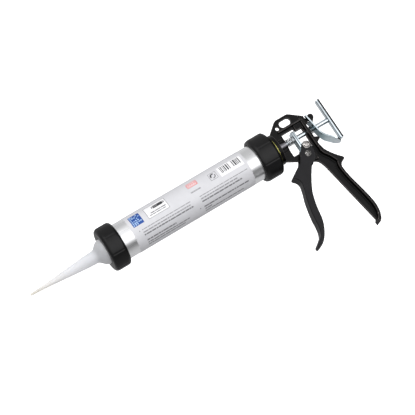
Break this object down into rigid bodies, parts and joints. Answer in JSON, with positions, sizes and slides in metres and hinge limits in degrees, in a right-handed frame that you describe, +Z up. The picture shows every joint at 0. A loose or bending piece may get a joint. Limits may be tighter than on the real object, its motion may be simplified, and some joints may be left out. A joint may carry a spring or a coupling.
{
  "type": "caulking gun",
  "caption": "Closed-barrel hand caulking gun: aluminium barrel with two screwed rings and cone nozzle, cast frame with squeeze trigger, sliding push rod with T handle and thumb brake.",
  "frame": {"origin": "centre of the gun's bounding box, at rest with the push rod fully in", "axes": "+X along the barrel from the nozzle to the T handle, +Z up with the handle hanging along -Z, +Y to the gun's left side seen from the handle, and the mid-plane at y = 0"},
  "size_m": [0.4826, 0.0656, 0.1978],
  "materials": {
    "cast_black": "die-cast aluminium alloy, satin black powder coat",
    "ring_plastic": "moulded black polypropylene, fine matt texture",
    "bright_zinc": "steel, bright blue-white zinc plating",
    "spring_steel": "zinc plated spring wire",
    "rivet_steel": "plain bright steel",
    "yellow_zinc": "steel, yellow passivated zinc",
    "barrel_aluminium": "drawn tube, satin bright",
    "label_film": "printed self-adhesive film, satin pale grey",
    "nozzle_plastic": "moulded natural polyethylene, milky translucent",
    "piston_plastic": "moulded natural nylon"
  },
  "bodies": {
    "frame": {"frame": "cast_black", "neck_washer": "yellow_zinc", "pivot_pin": "rivet_steel", "pivot_washer_left": "rivet_steel", "pivot_washer_right": "rivet_steel", "return_spring": "spring_steel", "brake_spring": "spring_steel"},
    "trigger": {"trigger": "cast_black", "drive_pin": "rivet_steel", "drive_washer_left": "rivet_steel", "drive_washer_right": "rivet_steel"},
    "grip_plates": {"grip_plate_rear": "bright_zinc", "grip_plate_front": "bright_zinc"},
    "brake": {"brake_plate": "bright_zinc"},
    "piston": {"piston_disc": "piston_plastic"},
    "rod": {"piston_rod": "bright_zinc", "t_handle": "bright_zinc", "piston_nut": "rivet_steel", "piston_washer_rear": "rivet_steel", "piston_washer_front": "rivet_steel"},
    "barrel": {"barrel_tube": "barrel_aluminium", "barrel_label": "label_film"},
    "rear_ring": {"rear_ring": "ring_plastic"},
    "nozzle": {"nozzle": "nozzle_plastic"},
    "front_ring": {"front_ring": "ring_plastic"}
  },
  "joints": [
    {"name": "trigger_pivot", "type": "hinge", "parent": "frame", "child": "trigger", "pos_m": [0.18195, 0, 0.0334], "axis": [0, -1, 0], "range_deg": [0, 34], "stiffness_Nm_per_rad": 1.2, "springref_deg": -17.19},
    {"name": "grip_slide", "type": "slide", "parent": "frame", "child": "grip_plates", "axis": [-1, 0, 0], "range_m": [0, 0.0075], "deforming": ["return_spring"]},
    {"name": "brake_tilt", "type": "hinge", "parent": "frame", "child": "brake", "pos_m": [0.21105, 0, 0.0774], "axis": [0, 1, 0], "range_deg": [0, 3.5], "stiffness_Nm_per_rad": 0.6, "springref_deg": -22.92, "deforming": ["brake_spring"]},
    {"name": "rod_slide", "type": "slide", "parent": "frame", "child": "piston", "axis": [1, 0, 0], "range_m": [0, 0.222]},
    {"name": "rod_turn", "type": "hinge", "parent": "piston", "child": "rod", "pos_m": [-0.10135, 0, 0.0621], "axis": [1, 0, 0], "continuous": true},
    {"name": "rear_ring_turn", "type": "hinge", "parent": "frame", "child": "rear_ring", "pos_m": [0.12965, 0, 0.0621], "axis": [1, 0, 0], "range_deg": [0, 1080]},
    {"name": "barrel_slide", "type": "slide", "parent": "frame", "child": "barrel", "axis": [-1, 0, 0], "range_m": [0, 0.012]},
    {"name": "nozzle_slide", "type": "slide", "parent": "barrel", "child": "nozzle", "axis": [-1, 0, 0], "range_m": [0, 0.012]},
    {"name": "front_ring_turn", "type": "hinge", "parent": "nozzle", "child": "front_ring", "pos_m": [-0.11535, 0, 0.0621], "axis": [-1, 0, 0], "range_deg": [0, 1080]}
  ],
  "couplings": [
    {"joint": "grip_slide", "follows": "trigger_pivot", "m_per_rad": 0.01252},
    {"joint": "rear_ring_turn", "follows": "barrel_slide", "rad_per_m": 1570.8},
    {"joint": "front_ring_turn", "follows": "nozzle_slide", "rad_per_m": 1570.8}
  ]
}
